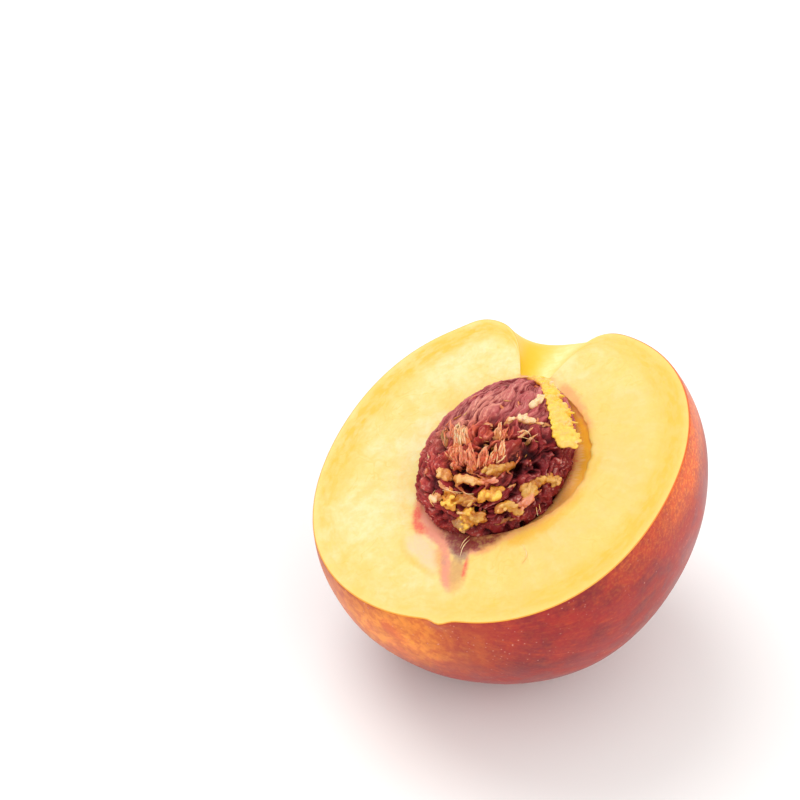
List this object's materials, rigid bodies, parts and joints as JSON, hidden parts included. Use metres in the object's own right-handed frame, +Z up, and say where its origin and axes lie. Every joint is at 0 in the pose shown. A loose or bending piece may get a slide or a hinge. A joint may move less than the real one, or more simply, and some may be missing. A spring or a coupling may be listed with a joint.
{
  "type": "nectarine half",
  "caption": "Half of a ripe nectarine with its stone still in it: yellow flesh on the cut face, red skin on the round side.",
  "frame": {"origin": "middle of the small flat spot that the half rests on", "axes": "+Z up, +Y the way the stem end points along the ground, +X to the right of that, with the cut face leaning about 20 degrees off level towards -X"},
  "size_m": [0.0699, 0.0706, 0.0548],
  "materials": {
    "flesh_and_skin": "moist satin yellow flesh on the cut face, smooth glossy red and orange skin outside",
    "stone": "dull damp dark red wood, pitted and furrowed, with scraps of yellow flesh on it"
  },
  "bodies": {
    "root": {"fruit_half": "flesh_and_skin", "stone": "stone"}
  },
  "joints": []
}
